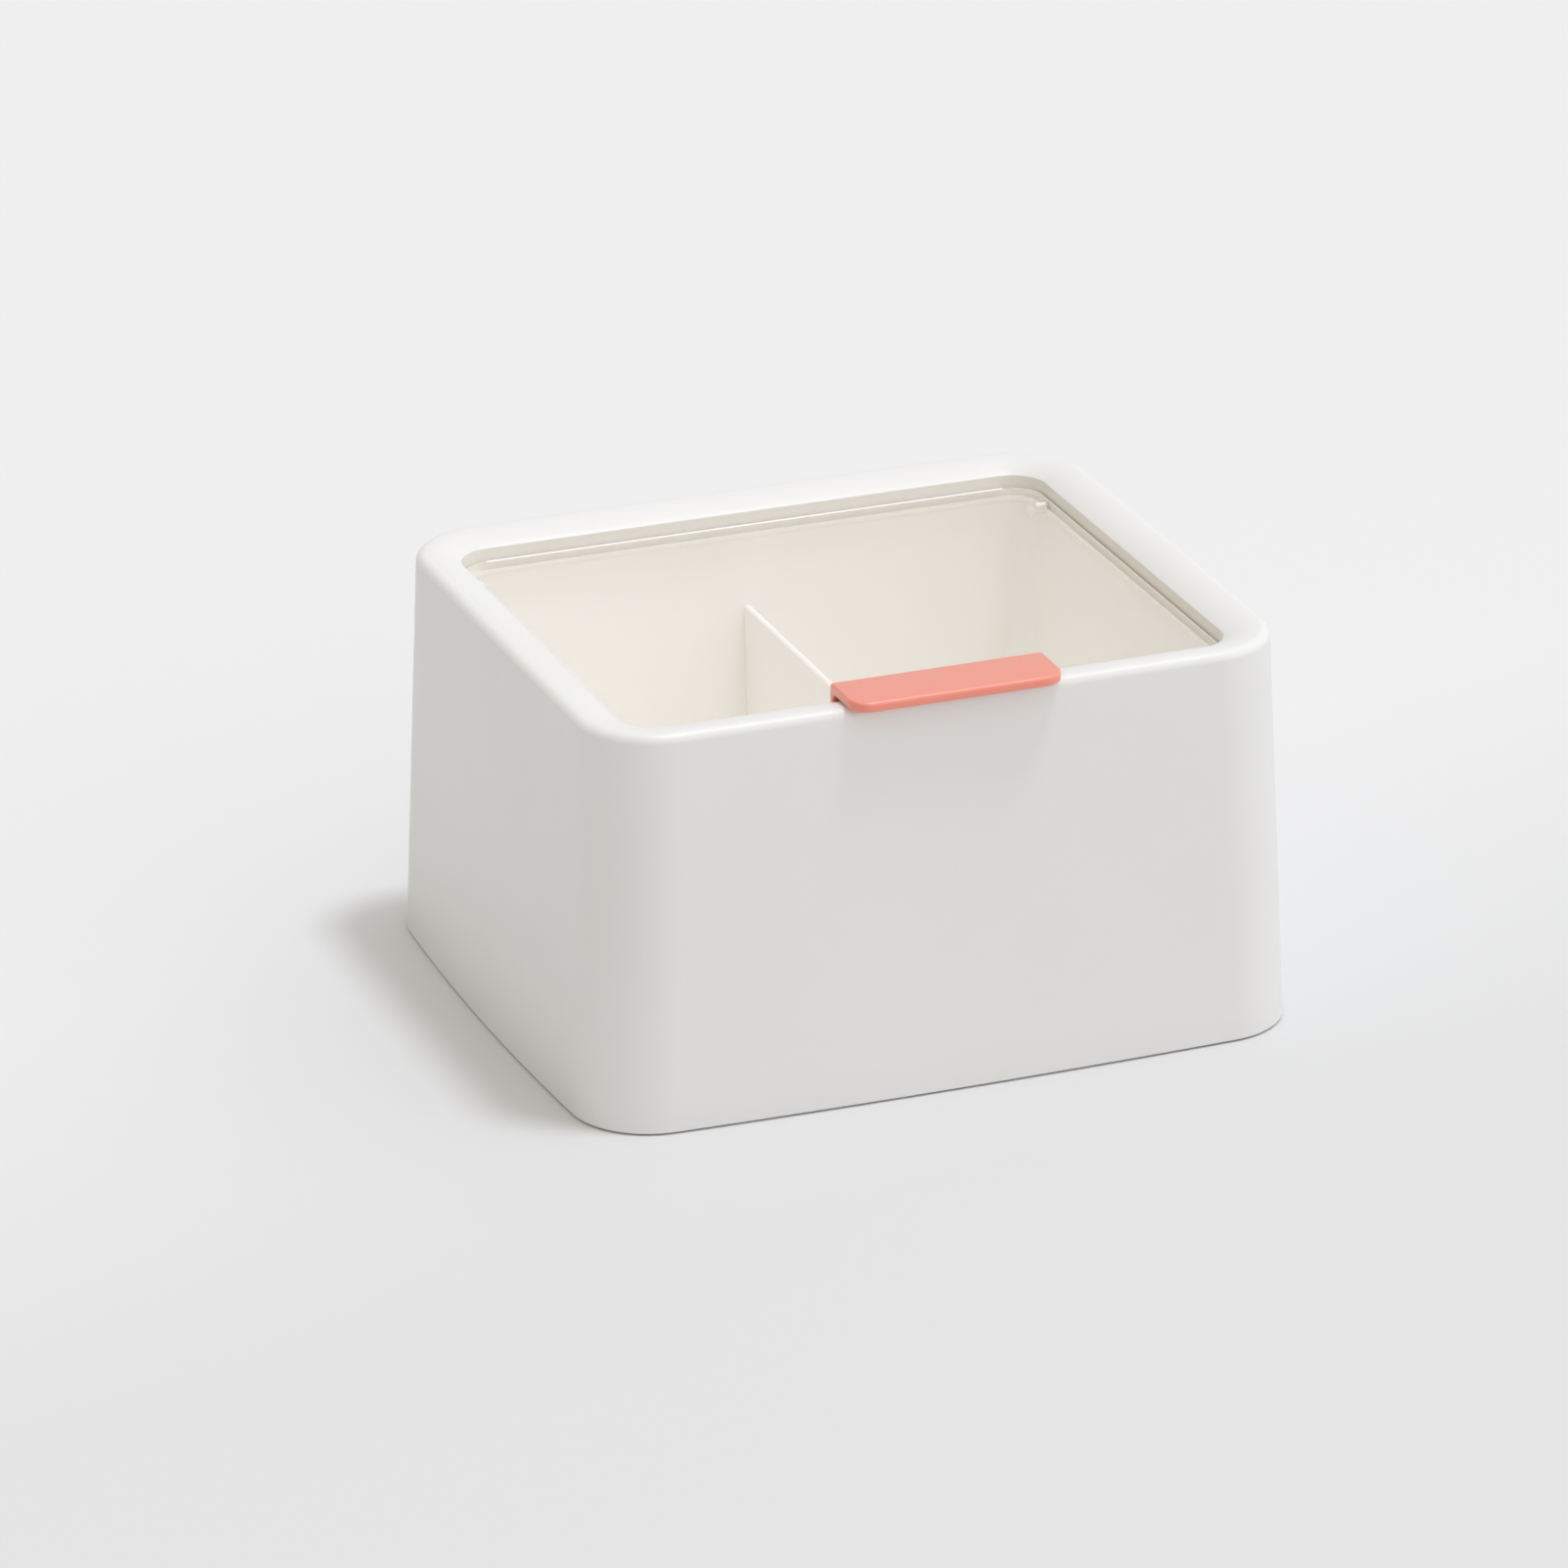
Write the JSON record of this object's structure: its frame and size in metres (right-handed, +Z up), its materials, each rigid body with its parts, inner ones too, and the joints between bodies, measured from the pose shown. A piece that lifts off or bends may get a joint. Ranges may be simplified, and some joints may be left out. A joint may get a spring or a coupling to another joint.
{
  "type": "cosmetic organizer box",
  "caption": "Low rounded box with drafted walls and a rolled rim, a clear hinged lid with a pull tab, and a divided inner tray for small cosmetics.",
  "frame": {"origin": "on the floor under the middle of the box", "axes": "+X to the right as seen from the front, +Y to the rear where the lid is hinged, +Z up"},
  "size_m": [0.1864, 0.1588, 0.1027],
  "materials": {
    "shell_white": "satin moulded",
    "tray_cream": "satin moulded",
    "cover_white": "matte moulded",
    "lid_clear": "clear polished",
    "tab_coral": "satin moulded",
    "pin_acetal": "natural, turned",
    "screw_steel": "zinc plated",
    "foot_silicone": "translucent grey"
  },
  "bodies": {
    "case": {"outer_shell": "shell_white", "inner_tray": "tray_cream", "divider": "tray_cream", "hinge_pin_left": "pin_acetal", "hinge_pin_right": "pin_acetal", "base_cover": "cover_white", "base_screws": "screw_steel", "foot_front_left": "foot_silicone", "foot_front_right": "foot_silicone", "foot_rear_left": "foot_silicone", "foot_rear_right": "foot_silicone"},
    "lid": {"lid_panel": "lid_clear", "lid_tab": "tab_coral"}
  },
  "joints": [
    {"name": "lid_hinge", "type": "hinge", "parent": "case", "child": "lid", "pos_m": [0, 0.0519, 0.0926], "axis": [-1, 0, 0], "range_deg": [0, 105]}
  ]
}
